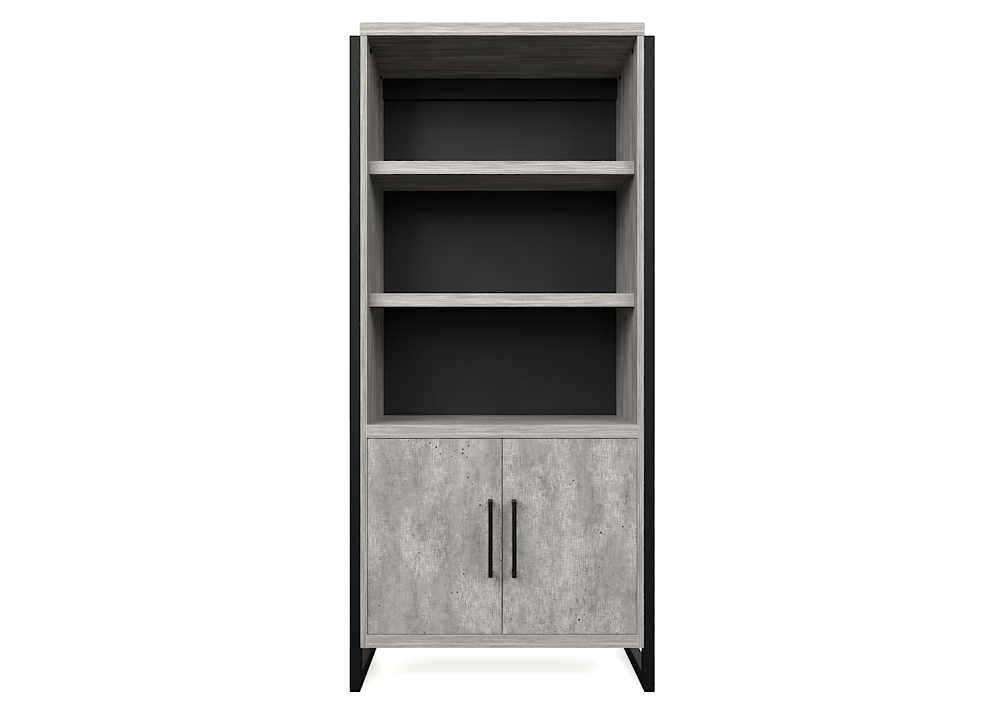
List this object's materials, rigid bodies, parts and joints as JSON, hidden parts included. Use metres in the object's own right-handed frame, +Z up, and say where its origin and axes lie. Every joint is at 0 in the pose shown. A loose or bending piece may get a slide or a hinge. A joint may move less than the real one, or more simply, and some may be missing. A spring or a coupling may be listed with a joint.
{
  "type": "bookcase with cabinet doors",
  "caption": "Tall bookcase with open shelves above a cupboard with inset doors, standing between box-tube sled side frames.",
  "frame": {"origin": "on the floor, centre of the bounding box", "axes": "+Z up, the doors face -Y, +X to the right seen from the front"},
  "size_m": [0.834, 0.39, 1.829],
  "materials": {
    "grey_laminate": "grey woodgrain laminate, satin",
    "concrete_laminate": "mottled concrete-look laminate, matt",
    "black_laminate": "black laminate, satin",
    "frame_steel": "black powder coat, fine matt texture",
    "handle_black": "black powder coat, satin",
    "black_bolts": "black oxide",
    "zinc_steel": "bright zinc plating",
    "black_plastic": "moulded nylon",
    "white_nylon": "moulded nylon",
    "grey_plastic": "moulded plastic",
    "magnet": "sintered ferrite",
    "beech": "bare beech"
  },
  "bodies": {
    "case": {"back_panel": "black_laminate", "back_panel_screws": "zinc_steel", "back_rail_dowels": "beech", "bottom_panel": "grey_laminate", "bottom_panel_dowels": "beech", "catch_housings": "grey_plastic", "catch_magnets": "magnet", "catch_screws": "zinc_steel", "cupboard_shelf": "grey_laminate", "cupboard_shelf_pins": "zinc_steel", "fixed_shelf": "grey_laminate", "fixed_shelf_dowels": "beech", "left_case_pivot_plates": "zinc_steel", "left_case_pivot_screws": "zinc_steel", "left_foot_glides": "black_plastic", "left_frame_bolts": "black_bolts", "left_frame_foot_bar": "frame_steel", "left_frame_front_leg": "frame_steel", "left_frame_inserts": "zinc_steel", "left_frame_rear_leg": "frame_steel", "left_frame_top_bar": "frame_steel", "left_pivot_pins": "zinc_steel", "left_side_panel": "grey_laminate", "lower_shelf": "grey_laminate", "lower_shelf_front_edge": "grey_laminate", "lower_shelf_pins": "zinc_steel", "right_case_pivot_plates": "zinc_steel", "right_case_pivot_screws": "zinc_steel", "right_foot_glides": "black_plastic", "right_frame_bolts": "black_bolts", "right_frame_foot_bar": "frame_steel", "right_frame_front_leg": "frame_steel", "right_frame_inserts": "zinc_steel", "right_frame_rear_leg": "frame_steel", "right_frame_top_bar": "frame_steel", "right_pivot_pins": "zinc_steel", "right_side_panel": "grey_laminate", "top_back_rail": "black_laminate", "top_panel": "grey_laminate", "top_panel_dowels": "beech", "upper_shelf": "grey_laminate", "upper_shelf_front_edge": "grey_laminate", "upper_shelf_pins": "zinc_steel"},
    "left_door": {"left_door": "concrete_laminate", "left_door_pivot_bushings": "white_nylon", "left_door_pivot_plates": "zinc_steel", "left_door_pivot_screws": "zinc_steel", "left_handle": "handle_black", "left_handle_screws": "zinc_steel", "left_strike_plate": "zinc_steel", "left_strike_screw": "zinc_steel"},
    "right_door": {"right_door": "concrete_laminate", "right_door_pivot_bushings": "white_nylon", "right_door_pivot_plates": "zinc_steel", "right_door_pivot_screws": "zinc_steel", "right_handle": "handle_black", "right_handle_screws": "zinc_steel", "right_strike_plate": "zinc_steel", "right_strike_screw": "zinc_steel"}
  },
  "joints": [
    {"name": "left_door_hinge", "type": "hinge", "parent": "case", "child": "left_door", "pos_m": [-0.354, -0.1495, 0.158], "axis": [0, 0, -1], "range_deg": [0, 135]},
    {"name": "right_door_hinge", "type": "hinge", "parent": "case", "child": "right_door", "pos_m": [0.354, -0.1495, 0.158], "axis": [0, 0, 1], "range_deg": [0, 135]}
  ]
}
